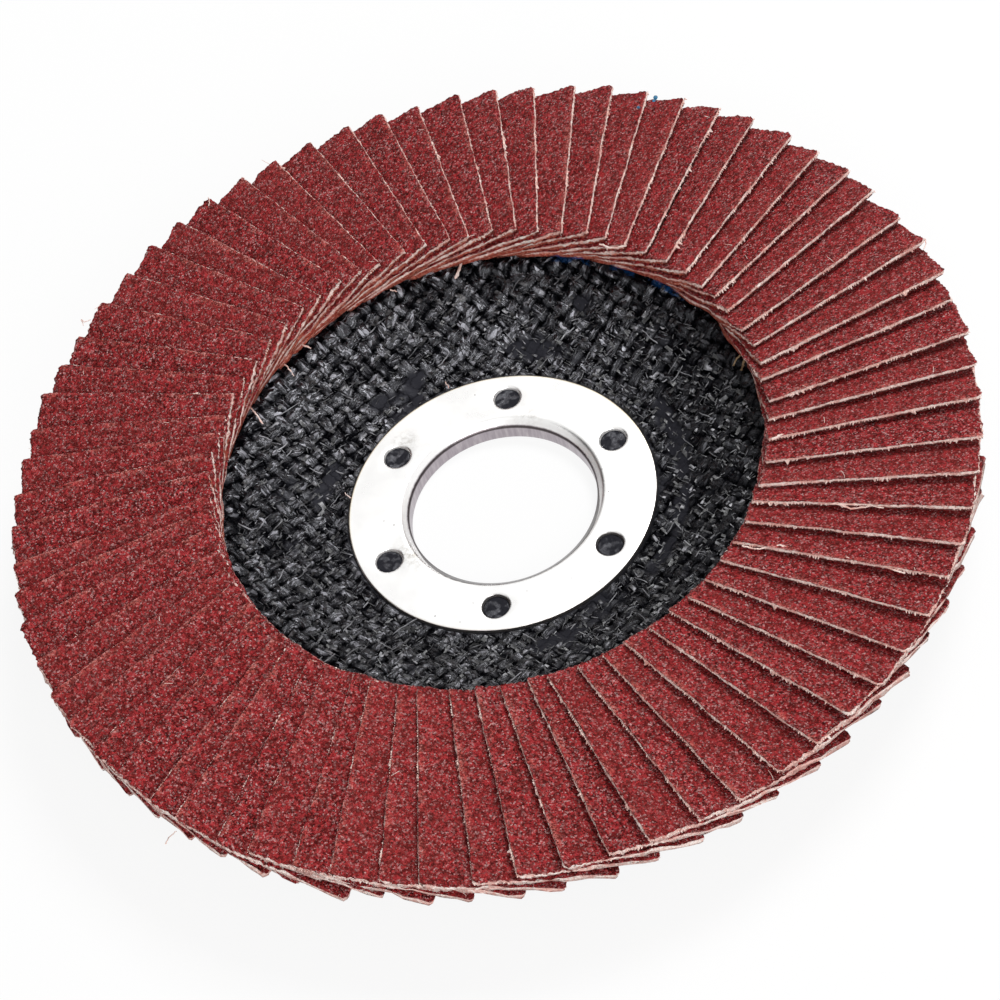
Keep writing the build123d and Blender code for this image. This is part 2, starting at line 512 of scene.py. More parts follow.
def sliver_finish(name, scale, *stops):
    """Slivers of glass and resin, each mostly one tone of these."""
    material, g, place = placed_finish(name)
    bared = g.noise(place, scale, 2.0, 0.6)
    colour = tints(g, bared, *((share, (tone, tone, tone * 1.08)) for share, tone in stops))
    fibrous = g.noise(g.vectors("MULTIPLY", place, (1.0, 3.0, 1.0)), 4000, 2.0, 0.6)
    surface(g, colour, g.band(fibrous, 0.3, 0.7, 0.2, 0.5), fibrous, 0.03 * MM, Specular_IOR_Level=0.5)
    return material


FINGER_MARKS = ((-11.4, -4.4), (-12.0, -2.6), (-8.7, 12.7), (5.9, 10.6))  # in millimetres


def ring_steel_finish():
    """Bright plated steel with faint handling smears; drawn steel down the bore, its streaks real but its
    tone painted darker as painted shade of the dim reflection there; a painted dark line of shade where
    the mouth bends into it; the mouth's lead painted whiter and less metallic, as a painted reflection;
    and the rim's rounded edge tinted yellowish towards +Y, as a painted reflection."""
    material, g, place = placed_finish("ring_steel")
    x, y, z = g.xyz(place)
    radius = g.from_axis(x, y)
    smear = g.noise(place, 160, 4.0, 0.65)
    bright = mix(g, g.band(smear, 0.5, 0.8, 0.0, 0.3), (0.88, 0.875, 0.865), (0.70, 0.67, 0.62))
    smudge = 0.0
    for mark_x, mark_y in FINGER_MARKS:
        away = g.add("ShaderNodeVectorMath", place, (mark_x * MM, mark_y * MM, RING_TOP),
                     operation="DISTANCE")
        smudge = g.plus(smudge, g.band(away.outputs["Value"], 2.4 * MM, 0.2 * MM))
    smudge = g.times(smudge, g.band(g.noise(place, 1500, 3.0, 0.7), 0.38, 0.72))
    bright = mix(g, g.times(smudge, 0.55), bright, (0.36, 0.33, 0.29))
    # Painted reflection: the rim's rounded edge is tinted yellowish, more strongly towards +Y.
    rim = g.band(radius, RING_RADIUS - 0.35 * MM, RING_RADIUS - 0.1 * MM)
    bright = mix(g, g.times(rim, g.band(y, -4 * MM, 6 * MM, 0.1, 0.7)), bright, (0.80, 0.70, 0.45))

    drawn_down = g.vector(g.times(x, 2600), g.times(y, 2600), g.times(z, 260))
    streaks = g.noise(drawn_down, 1.0, 3.0, 0.7)
    # Painted shade: the bore wall's steel gets this darker, mauve-grey tone to stand in for the dim
    # reflection it shows; the streaks are its drawing marks.
    drawn_and_shaded = tints(g, streaks, (0.3, (0.33, 0.29, 0.32)), (0.55, (0.43, 0.385, 0.415)),
                  (0.75, (0.54, 0.50, 0.51)))
    uneven = g.times(g.minus(g.noise(place, 1800, 3.0), 0.5), 0.1 * MM)
    level = g.plus(z, uneven)
    bend = RING_TOP - MOUTH_LEAD
    # Painted shade: a dark line along the bend from the mouth into the bore, drawn wider towards -Y.
    wider_in_front = g.band(y, -1 * MM, -9 * MM, 0.1 * MM, 0.75 * MM)
    line = g.times(g.band(level, bend - 0.26 * MM, bend - 0.1 * MM),
                   g.band(g.minus(level, wider_in_front), bend + 0.12 * MM, bend + 0.02 * MM))
    wall = g.band(level, bend + 0.32 * MM, bend + 0.1 * MM)
    # Painted reflection: the lead is painted whiter and made less metallic, standing in for the white it
    # reflects.
    lead = g.band(level, RING_TOP - 0.12 * MM, RING_TOP - 0.32 * MM)
    colour = mix(g, g.times(lead, 0.3), bright, (0.92, 0.91, 0.91))
    colour = mix(g, wall, colour, drawn_and_shaded)
    colour = mix(g, g.times(line, 0.85), colour, (0.050, 0.040, 0.040))
    roughness = g.blend(lead, g.band(smear, 0.3, 0.8, 0.26, 0.42), 0.28)
    height = g.blend(wall, g.noise(place, 900, 3.0), streaks)
    # Metallic falls to 0.35 on the lead: part of its painted reflection.
    surface(g, colour, roughness, height, 0.02 * MM, 0.3,
            Metallic=g.blend(g.times(lead, g.minus(1.0, wall)), 1.0, 0.35))
    return material


def dark_crumb_finish():
    material, g, place = placed_finish("dark_crumb")
    colour = tints(g, g.noise(place, 5000, 2.0), (0.35, (0.03, 0.025, 0.022)),
                   (0.65, (0.14, 0.12, 0.11)))
    roughness = g.band(g.noise(place, 3000, 1.0), 0.3, 0.7, 0.5, 0.8)
    surface(g, colour, roughness, g.noise(place, 8000, 1.0), 0.02 * MM)
    return material


abrasive_cloth = abrasive_cloth_finish()
cotton_thread = thread_finish("cotton_thread", (0.70, 0.38, 0.32), (0.88, 0.67, 0.60),
                              (0.94, 0.82, 0.77))
tan_thread = thread_finish("tan_thread", (0.16, 0.10, 0.05), (0.34, 0.23, 0.13), (0.55, 0.42, 0.28))
blue_paint = blue_paint_finish()
woven_resin = woven_resin_finish("woven_resin")
coated_glass = sliver_finish("coated_glass", 800, (0.35, 0.012), (0.52, 0.06), (0.64, 0.17), (0.8, 0.46))
bared_glass = sliver_finish("bared_glass", 400, (0.3, 0.03), (0.45, 0.12), (0.6, 0.3), (0.8, 0.5))
flaked_resin = sliver_finish("flaked_resin", 900, (0.35, 0.008), (0.5, 0.03), (0.58, 0.12), (0.7, 0.42))
ring_steel = ring_steel_finish()
adhesive = woven_resin_finish("adhesive", painted=True)
dark_crumb = dark_crumb_finish()

# ------------------------------------------------------------------------------------------- flaps


def layer_tilt(radius, gap):
    """The tilt that lays neighbouring flaps one thickness and one gap apart at this radius."""
    return asin((FLAP_THICKNESS + gap) / (radius * sin(FLAP_PITCH)))


def crown(tilt, seat):
    """Height of the exposed edge where the lowest corner is a seat above the plate's rim."""
    return RIM_TOP + seat + FLAP_WIDTH * sin(tilt) + FLAP_THICKNESS * cos(tilt)


# The flat flap, in millimetres: the rounding of its outer corners, where its columns of points stand
# across it, how many rows run along it, and how deep and how far out each ring of its cut edge lies
CORNER = 0.4
ACROSS = [0, 0.06, 0.25, 0.55, 0.95, 1.5, 2.1, 2.8, 3.5, 4.3, 5.3, 6.5, 9.5, FLAP_WIDTH_MM]
ROWS_ALONG = 104
CUT_EDGE = ((0.06, 0.0), (0.2, 0.02), (0.36, 0.0), (0.5, -0.12), (0.66, -0.3), (0.8, -0.34))


def fan_between(many, few):
    """Faces from a run of many points to a run of few beside it, both in the same direction."""
    faces, step = [], (len(many) - 1) // (len(few) - 1)
    for k in range(len(few) - 1):
        run = many[k * step:(k + 1) * step + 1]
        half = (step + 1) // 2
        faces += [(run[i], run[i + 1], few[k]) for i in range(half)]
        faces.append((run[half], few[k + 1], few[k]))
        faces += [(run[i], run[i + 1], few[k + 1]) for i in range(half, step)]
    return faces


def flat_flap():
    """One flap, flat: X across it from the exposed edge, Y along it, Z up with its grit face at 0.

    Its points carry their place in the flap in millimetres and the way the cut edge faces there. The
    rows at its two ends have four times the points of the others, so that they can fray finely."""
    finer = [a + (b - a) * k / 4 for a, b in zip(ACROSS, ACROSS[1:]) for k in range(4)]
    finer.append(FLAP_WIDTH_MM)
    along = np.linspace(0, FLAP_LENGTH_MM, ROWS_ALONG)

    def inset(y):
        """How far the outer end's round corners stand in from the sides."""
        past = max(0.0, y - (FLAP_LENGTH_MM - CORNER))
        return CORNER - (CORNER ** 2 - min(past, CORNER) ** 2) ** 0.5

    def row_at(y, row):
        """Adds one row of points, drawn in where the corners are round, and returns their numbers."""
        start = len(places)
        places.extend((inset(y) + x * (1 - 2 * inset(y) / FLAP_WIDTH_MM), y, 0.0) for x in row)
        return list(range(start, len(places)))

    places = []
    rows = [row_at(y, ACROSS) for y in along[1:-1]]
    inner_row, outer_row = row_at(0.0, finer), row_at(FLAP_LENGTH_MM, finer)
    faces = [(near[c], near[c + 1], far[c + 1], far[c])
             for near, far in zip(rows, rows[1:]) for c in range(len(ACROSS) - 1)]
    faces += fan_between(inner_row, rows[0])
    faces += [face[::-1] for face in fan_between(outer_row, rows[-1])]
    rim = inner_row + [row[-1] for row in rows] + outer_row[::-1] + [row[0] for row in rows[::-1]]
    ways = []
    for x, y, _ in (places[point] for point in rim):
        end = int(y > FLAP_LENGTH_MM - 0.01) - int(y < 0.01)
        side = int(x > FLAP_WIDTH_MM - 0.01 - inset(y)) - int(x < 0.01 + inset(y))
        ways.append(Vector((side, end, 0)).normalized())
    facing = [(0.0, 0.0, 0.0)] * len(places)
    for point, way in zip(rim, ways):
        facing[point] = tuple(way)
    above = rim
    for depth, reach in CUT_EDGE:
        below = list(range(len(places), len(places) + len(rim)))
        for point, way in zip(rim, ways):
            x, y, _ = places[point]
            set_back = reach if way.x < -0.1 else max(reach, -0.06)
            places.append((x + way.x * set_back, y + way.y * set_back, -depth))
            facing.append(tuple(way))
        for k in range(len(rim)):
            n = (k + 1) % len(rim)
            faces.append((above[n], above[k], below[k], below[n]))
        above = below
    faces.append(tuple(reversed(above)))
    mesh = plain_mesh("flat_flap", [Vector(place) * MM for place in places], faces)
    point_values(mesh, "flap_place", [(x, y, -z) for x, y, z in places], "FLOAT_VECTOR")
    point_values(mesh, "facing", facing, "FLOAT_VECTOR")
    return mesh


def fanned_flaps_tree():
    """Lays copies of one flat flap round the disc, each tilted, twisted and slightly out of place, and
    frays their cut edges."""
    g, given = geometry_tree("fanned_flaps", {
        "Flaps": int, "First flap": float, "Turn between": float, "Inner end": float,
        "Length": float, "Width": float, "Inner tilt": float, "Outer tilt": float,
        "Inner crown": float, "Outer crown": float, "Side wander": float, "End wander": float,
        "Edge wander": float, "Grit relief": float, "Yarn ends": int, "Inner end frayed": float,
        "Outer end frayed": float, "Yarn end length": float, "Fuzz per area": float,
        "Threads per area": float, "Highest": float, "Seed": int, "Cloth": str, "Thread": str})

    points = g.add("GeometryNodePoints", given["Flaps"])
    number = g.add("GeometryNodeInputIndex")
    numbered = g.store(points, "flap", number)
    laid = g.add("GeometryNodeInstanceOnPoints", numbered, None, given["Geometry"])
    cloth = g.made_of(g.realized(laid), given["Cloth"])
    flap = g.named("flap")

    def chance(low, high, salt):
        """A draw for each flap."""
        seed = g.plus(g.times(given["Seed"], 37.0), float(salt))
        return g.chance(low, high, seed, g.math("ROUND", flap))

    place_in_row = g.over(number, given["Yarn ends"])
    row = g.math("FLOOR", place_in_row)
    frayed_run = g.plus(g.plus(given["Length"], given["Outer end frayed"]), given["Inner end frayed"])
    along_edge = g.minus(g.times(g.minus(place_in_row, row), frayed_run), given["Inner end frayed"])
    past_corner = g.plus(g.math("MAXIMUM", g.minus(along_edge, given["Length"]), 0.0),
                         g.math("MAXIMUM", g.times(along_edge, -1.0), 0.0))
    before_corner = g.math("MINIMUM", along_edge, g.minus(given["Length"], 0.05 * MM))
    beside = g.math("MAXIMUM", 0.05 * MM, before_corner)
    ends = g.add("GeometryNodePoints", g.times(given["Flaps"], given["Yarn ends"]),
                 g.vector(g.plus(0.03 * MM, past_corner), beside, -0.24 * MM))
    ends = g.store(ends, "flap", row)
    tuft = g.add("GeometryNodeMeshCone", given={
        "Vertices": 5, "Side Segments": 1, "Radius Top": 0.05 * MM, "Radius Bottom": 0.14 * MM,
        "Depth": given["Yarn end length"]})
    lean = g.chance((pi - 0.45, -0.25, -3.1), (pi + 0.45, 0.75, 3.1), given["Seed"])
    grown = g.chance(0.3, 1.15, g.plus(given["Seed"], 7.0))
    clumps = g.noise(g.vector(g.times(row, 0.7), along_edge, given["Seed"]), 170, 1.0)
    full = g.times(grown, g.band(clumps, 0.5, 0.65, 0.85, 1.5))
    tufts = g.add("GeometryNodeInstanceOnPoints", ends, None, tuft,
                  given={"Rotation": lean, "Scale": full})
    flaps = g.joined(g.made_of(g.realized(tufts), given["Thread"]), cloth)

    across, along, height = g.xyz(g.position())
    across = g.plus(across, g.times(chance(-1.0, 1.0, 4), given["Side wander"]))
    share = g.over(along, given["Length"])
    tilt = g.plus(g.blend(share, given["Inner tilt"], given["Outer tilt"]), chance(-0.006, 0.006, 5))
    top = g.blend(share, given["Inner crown"], given["Outer crown"])
    sine, cosine = g.math("SINE", tilt), g.math("COSINE", tilt)
    middle = g.minus(across, g.times(given["Width"], 0.5))
    droop = g.times(g.math("POWER", share, 3.0), chance(0.0, -0.25 * MM, 1))
    side = g.plus(g.times(middle, cosine), g.times(height, sine))
    rise = g.plus(g.minus(g.plus(top, g.times(height, cosine)), g.times(across, sine)), droop)
    skew = chance(-0.013, 0.013, 2)
    out_of_place = g.times(chance(-1.0, 1.0, 3), given["End wander"])
    reach = g.plus(g.plus(given["Inner end"], along), out_of_place)
    side = g.plus(side, g.times(skew, g.minus(along, g.times(given["Length"], 0.5))))
    turn = g.plus(given["First flap"], g.times(flap, given["Turn between"]))
    spin = g.add("ShaderNodeVectorRotate", rotation_type="Z_AXIS",
                 given={"Vector": g.vector(reach, side, rise), "Angle": turn})
    facing = g.named("facing", "FLOAT_VECTOR")
    flat_place = g.vector(g.plus(across, g.times(flap, 0.31)), along, g.times(height, 2.4))
    own_place = g.vectors("ADD", flat_place, given["Seed"])
    fray, wander = g.noise(own_place, 1900, 3.0, 0.6), g.noise(own_place, 240, 1.0)
    an_end = g.math("MAXIMUM", g.math("LESS_THAN", along, 0.2 * MM),
                    g.math("GREATER_THAN", along, g.minus(given["Length"], 0.1 * MM)))
    uneven = g.plus(g.times(g.minus(fray, 0.5), given["Edge wander"]),
                    g.times(g.minus(wander, 0.5), given["Edge wander"]))
    out = g.times(uneven, g.blend(an_end, 1.0, 2.0))
    below_grit = g.times(g.math("LESS_THAN", height, -0.03 * MM), 0.45 * MM)
    torn = g.times(g.minus(g.noise(own_place, 1100, 3.0, 0.65), 0.5), g.times(an_end, below_grit))
    push = g.vectors("ADD", g.scaled(facing, out), g.vector(0.0, 0.0, torn))
    placed = g.add("GeometryNodeSetPosition", g.moved(flaps, push), None, spin)

    lumps = g.minus(g.noise(g.position(), 1500, 2.0, 0.6), 0.5)
    grit = g.scaled(g.add("GeometryNodeInputNormal"), g.times(lumps, given["Grit relief"]))
    laid_flaps = g.store(g.moved(placed, grit), "flap_tone", chance(0.0, 1.0, 6))

    from_edge, from_inside, below = g.xyz(g.named("flap_place", "FLOAT_VECTOR"))
    in_view = g.math("MAXIMUM", g.math("LESS_THAN", from_edge, 6.0),
                     g.math("GREATER_THAN", from_inside, FLAP_LENGTH_MM - 0.1))
    cut_edge = g.times(g.math("COMPARE", below, 0.3, 0.18), in_view)

    def strands(count, length, thickness, bend, salt):
        """Bent hairs that stand on the cut edges, each leaning its own way."""
        spots = g.add("GeometryNodeDistributePointsOnFaces", laid_flaps,
                      given={"Selection": cut_edge, "Density": count,
                             "Seed": g.plus(given["Seed"], float(salt))})
        line = g.add("GeometryNodeCurvePrimitiveBezierSegment", given={
            "Resolution": 3, "Start": (0, 0, -0.1 * length), "Start Handle": (0, 0, 0.5 * length),
            "End Handle": (bend * length, 0, 0.8 * length), "End": (1.6 * bend * length, 0, length)})
        ring = g.add("GeometryNodeCurvePrimitiveCircle", given={"Resolution": 3, "Radius": thickness})
        hair = g.add("GeometryNodeCurveToMesh",
                     given={"Curve": line, "Profile Curve": ring, "Fill Caps": True})
        loose = g.chance((-0.9, -0.9, -3.1), (0.9, 0.9, 3.1), g.plus(given["Seed"], float(salt + 1)))
        lean = g.add("FunctionNodeRotateRotation", spots.outputs["Rotation"],
                     g.add("FunctionNodeEulerToRotation", loose), rotation_space="LOCAL")
        return g.add("GeometryNodeInstanceOnPoints", spots, None, hair,
                     given={"Rotation": lean, "Scale": g.chance(0.45, 1.3, given["Seed"])})

    frayed = g.joined(strands(given["Fuzz per area"], 0.30 * MM, 0.028 * MM, 0.3, 11),
                      strands(given["Threads per area"], 0.9 * MM, 0.032 * MM, 0.5, 23))
    whole = g.joined(g.made_of(g.realized(frayed), given["Thread"]), laid_flaps)
    x, y, z = g.xyz(g.position())
    laid_down = g.add("GeometryNodeSetPosition", whole, None,
                      g.vector(x, y, g.math("MINIMUM", z, given["Highest"])))
    return close_tree(g, g.realized(laid_down))


def lay_flaps():
    flap = flat_flap()
    tree = fanned_flaps_tree()
    inner_tilt = layer_tilt(FLAP_INNER_END, INNER_LAYER_GAP)
    outer_tilt = layer_tilt(FLAP_OUTER_END, OUTER_LAYER_GAP)
    for trio in range(TRIOS):
        node = f"flap_trio_{trio + 1:02d}"
        piece = grow(node + "_cloth", flap, tree, {
            "Flaps": 3, "First flap": FIRST_FLAP + trio * FLAP_PITCH, "Turn between": tau / 3,
            "Inner end": FLAP_INNER_END, "Length": FLAP_LENGTH, "Width": FLAP_WIDTH,
            "Inner tilt": inner_tilt, "Outer tilt": outer_tilt,
            "Inner crown": crown(inner_tilt, INNER_SEAT), "Outer crown": crown(outer_tilt, OUTER_SEAT),
            "Side wander": 0.5 * MM, "End wander": 0.22 * MM, "Edge wander": 0.52 * MM,
            "Grit relief": 0.11 * MM, "Yarn ends": 100, "Inner end frayed": 2.4 * MM,
            "Outer end frayed": 6.2 * MM, "Yarn end length": 0.34 * MM,
            "Fuzz per area": 1.95e6, "Threads per area": 2.4e5, "Highest": 13.6 * MM,
            "Seed": 100 + trio, "Cloth": abrasive_cloth, "Thread": cotton_thread})
        settle(piece, "abrasive_cloth", node)


lay_flaps()

# ------------------------------------------------------------------------------------------- plate


def shell_of_rings(name, fine, outer):
    """A closed shell turned round Z from a fine and a coarse path of (radius, height) points, each
    joined to the other at its ends. One ring has a whole number of times the sides of the next."""
    rings = [(p.x, p.y, FINE_SIDES) for p in fine] + [(p.x, p.y, COARSE_SIDES) for p in outer]
    places, faces, starts = [], [], []
    for radius, height, sides in rings:
        starts.append(len(places))
        angles = [tau * k / sides for k in range(sides)]
        places += [(radius * cos(angle), radius * sin(angle), height) for angle in angles]
    for this in range(len(rings)):
        after = (this + 1) % len(rings)
        a, b, m, n = starts[this], starts[after], rings[this][2], rings[after][2]
        if m == n:
            faces += [(a + k, b + k, b + (k + 1) % n, a + (k + 1) % m) for k in range(m)]
        elif m > n:
            step = m // n
            for k in range(n):
                fan = [a + (k * step + i) % m for i in range(step + 1)]
                faces += [(fan[i], b + k, fan[i + 1]) for i in range((step + 1) // 2)]
                faces.append((fan[(step + 1) // 2], b + k, b + (k + 1) % n))
                faces += [(fan[i], b + (k + 1) % n, fan[i + 1]) for i in range((step + 1) // 2, step)]
        else:
            step = n // m
            for k in range(m):
                fan = [b + (k * step + i) % n for i in range(step + 1)]
                faces += [(a + k, fan[i], fan[i + 1]) for i in range((step + 1) // 2)]
                faces.append((a + k, fan[(step + 1) // 2], a + (k + 1) % m))
                faces += [(a + (k + 1) % m, fan[i], fan[i + 1]) for i in range((step + 1) // 2, step)]
    return plain_mesh(name, places, faces)


def rounded_path(corners, step):
    """A path through (radius, height, rounding) corners, its bends turned into arcs, in even steps."""
    path = []
    for k, (r, z, rounding) in enumerate(corners):
        here = Vector((r, z))
        if not rounding or k in (0, len(corners) - 1):
            path.append(here)
            continue
        before = (Vector(corners[k - 1][:2]) - here).normalized()
        after = (Vector(corners[k + 1][:2]) - here).normalized()
        half = before.angle(after) / 2
        run = rounding / tan(half)
        centre = here + (before + after).normalized() * (rounding / sin(half))
        start, end = here + before * run, here + after * run
        bend = pi - 2 * half
        pieces = max(3, int(bend * rounding / step) + 1)
        first, last = start - centre, end - centre
        turn = first.lerp if bend < 0.02 else first.slerp
        path += [centre + turn(last, i / pieces).normalized() * rounding for i in range(pieces + 1)]
    stepped = [path[0]]
    for end in path[1:]:
        start = stepped[-1]
        pieces = max(1, round((end - start).length / step))
        stepped += [start.lerp(end, i / pieces) for i in range(1, pieces + 1)]
    return stepped


MOULDED_GAP = 0.03 * MM
SEAT_LEVEL = RING_TOP - RING_SHEET - MOULDED_GAP
COLLAR_HOLE = BORE_RADIUS + RING_SHEET + MOULDED_GAP
BEND = 3.2 * MM


def plate_shell():
    """The plate: fine rings on the face that shows, coarse ones where the flaps or the bench hide it.
    The two meet beside the rim of the arbor ring and under the flaps."""
    fine = rounded_path([(18.24 * MM, PLATE_THICKNESS, 0), (HUB_RADIUS, PLATE_THICKNESS, BEND),
                         (HUB_RADIUS + SHOULDER_RUN, RIM_TOP, BEND + PLATE_THICKNESS),
                         (32.2 * MM, RIM_TOP, 0)], 0.175 * MM)
    slope = Vector((SHOULDER_RUN, DEPRESSION)).normalized()
    knee = PLATE_THICKNESS * (1 - slope.x) / slope.y
    outer = rounded_path([(34 * MM, RIM_TOP, 0), (PLATE_RADIUS, RIM_TOP, 0.35 * MM),
                          (PLATE_RADIUS, RIM_TOP - PLATE_THICKNESS, 0.6 * MM),
                          (HUB_RADIUS + SHOULDER_RUN + knee, DEPRESSION, BEND),
                          (HUB_RADIUS + knee, 0, BEND + PLATE_THICKNESS),
                          (COLLAR_HOLE, 0, 0.3 * MM), (COLLAR_HOLE, 1.8 * MM, 0),
                          (COLLAR_HOLE + 0.55 * MM, SEAT_LEVEL, 0), (18.22 * MM, SEAT_LEVEL, 0)], 1.4 * MM)
    return shell_of_rings("plate_shell", fine, outer)


def woven_plate_tree():
    """Raises a plain weave of resin-coated glass yarns on the face of the plate, floods parts of it
    with resin, and stands resin keys in the holes of the ring."""
    g, given = geometry_tree("woven_plate", {
        "Yarn pitch": float, "Yarn direction": float, "Yarn rise": float, "Yarn crown": float,
        "Yarn width": float, "Crumple": float, "Weave start": float, "Weave end": float, "Keys": int,
        "First key": float, "Key circle": float, "Key radius": float, "Key level": float, "Resin": str})
    place = g.position()
    x, y, _ = g.xyz(place)
    radius = g.from_axis(x, y)
    wander_x, wander_y, _ = g.xyz(g.drift(place, 230, 1.0))
    twitch_x, twitch_y, _ = g.xyz(g.drift(place, 900, 2.0, 0.6))
    flat_x = g.plus(x, g.times(g.plus(wander_x, g.times(twitch_x, 0.5)), given["Crumple"]))
    flat_y = g.plus(y, g.times(g.plus(wander_y, g.times(twitch_y, 0.5)), given["Crumple"]))
    cosine, sine = g.math("COSINE", given["Yarn direction"]), g.math("SINE", given["Yarn direction"])
    p = g.over(g.plus(g.times(flat_x, cosine), g.times(flat_y, sine)), given["Yarn pitch"])
    q = g.over(g.minus(g.times(flat_y, cosine), g.times(flat_x, sine)), given["Yarn pitch"])
    near_p, near_q = g.math("ROUND", p), g.math("ROUND", q)

    crossing = g.vector(near_p, near_q, 0.0)
    uneven = g.add("ShaderNodeTexWhiteNoise", crossing, noise_dimensions="3D").outputs["Value"]

    def yarn(along, across, own, sign):
        """Height of the yarns that run one way. The yarn's own number is its middle line."""
        crossings = g.math("COSINE", g.times(along, pi))
        wave = g.times(g.times(crossings, g.math("COSINE", g.times(own, pi))), sign)
        off = g.over(g.math("ABSOLUTE", g.minus(across, own)), given["Yarn width"])
        dome = g.math("POWER", g.math("MAXIMUM", g.minus(1.0, g.times(off, off)), 0.0), 0.4)
        inside = g.math("LESS_THAN", off, 1.0)
        swell = g.times(g.times(dome, given["Yarn crown"]), g.blend(uneven, 0.35, 1.25))
        height = g.plus(g.times(wave, given["Yarn rise"]), swell)
        return g.blend(inside, g.times(given["Yarn rise"], -1.6), height)

    warp, weft = yarn(p, q, near_q, 1.0), yarn(q, p, near_p, -1.0)
    on_top = g.math("GREATER_THAN", warp, weft)
    along, across = g.blend(on_top, q, p), g.blend(on_top, p, q)
    lump = g.minus(g.noise(place, 620, 3.0, 0.65), 0.5)
    drawn_out = g.vector(g.times(along, 1.2), g.times(across, 4.5), g.times(on_top, 7.0))
    strand = g.minus(g.noise(drawn_out, 1.0, 2.0), 0.5)
    woven_height = g.plus(g.math("SMOOTH_MAX", warp, weft, 0.05 * MM),
                          g.plus(g.times(lump, 0.28 * MM), g.times(strand, 0.34 * MM)))
    flood = g.noise(place, 150, 2.0, 0.55)
    from_bend = g.math("ABSOLUTE", g.minus(radius, 21.6 * MM))
    flooded = g.band(g.plus(g.plus(flood, g.times(lump, 0.12)),
                            g.band(from_bend, 1.6 * MM, 0.3 * MM, 0.0, 0.12)), 0.60, 0.74)
    resin_height = g.plus(g.times(given["Yarn crown"], 0.35), g.times(lump, 0.10 * MM))
    relief = g.blend(g.times(flooded, 0.85), woven_height, resin_height)
    shown = g.times(g.band(radius, given["Weave start"], g.plus(given["Weave start"], 0.5 * MM)),
                    g.band(radius, given["Weave end"], g.minus(given["Weave end"], 0.8 * MM)))
    facing_up = g.band(g.xyz(g.add("GeometryNodeInputNormal"))[2], 0.3, 0.6)
    shown = g.times(shown, facing_up)
    raised = g.scaled(g.add("GeometryNodeInputNormal"), g.times(relief, shown))
    marked = g.store(given["Geometry"], "yarn", g.vector(along, across, on_top), "FLOAT_VECTOR")
    marked = g.store(marked, "woven", g.times(shown, g.minus(1.0, g.times(flooded, 0.9))))
    tallest = g.plus(given["Yarn rise"], given["Yarn crown"])
    marked = g.store(marked, "rise", g.blend(shown, 0.7, g.over(relief, tallest)))
    woven = g.moved(marked, raised)

    index = g.add("GeometryNodeInputIndex")
    turn = g.plus(given["First key"], g.over(g.times(index, tau), given["Keys"]))
    spot = g.vector(g.times(given["Key circle"], g.math("COSINE", turn)),
                    g.times(given["Key circle"], g.math("SINE", turn)),
                    g.minus(given["Key level"], KEY_PLUG_DEPTH / 2))
    spots = g.add("GeometryNodePoints", given["Keys"], spot)
    plug = g.add("GeometryNodeMeshCylinder", given={
        "Vertices": 40, "Side Segments": 2, "Fill Segments": 9, "Radius": given["Key radius"],
        "Depth": KEY_PLUG_DEPTH})
    keys = g.welded(g.realized(g.add("GeometryNodeInstanceOnPoints", spots, None, plug)))
    lumpy = g.times(g.minus(g.noise(place, 900, 3.0, 0.6), 0.5), 0.28 * MM)
    keys = g.moved(keys, g.vector(0.0, 0.0, lumpy))
    keys = g.store(keys, "yarn", g.vector(p, q, 0.0), "FLOAT_VECTOR")
    keys = g.store(keys, "woven", 0.2)
    keys = g.store(keys, "rise", g.band(g.noise(place, 1300, 2.0), 0.35, 0.65))
    whole = g.realized(g.joined(keys, woven))
    return close_tree(g, g.made_of(g.smooth(whole), given["Resin"]))


weave = woven_plate_tree()
weave_values = {
    "Yarn pitch": YARN_PITCH, "Yarn direction": YARN_DIRECTION, "Yarn rise": 0.14 * MM,
    "Yarn crown": 0.30 * MM, "Yarn width": 0.41, "Crumple": 1.4 * MM, "Weave start": RING_RADIUS,
    "Weave end": 32.0 * MM, "Keys": KEY_HOLES, "First key": FIRST_KEY_HOLE,
    "Key circle": KEY_CIRCLE_RADIUS,
    "Key radius": KEY_HOLE_RADIUS - 0.11 * MM, "Key level": RING_TOP - KEY_DEPTH, "Resin": woven_resin}
plate = grow("woven_plate", plate_shell(), weave, weave_values)
settle(plate, "plate_resin", "backing_plate")


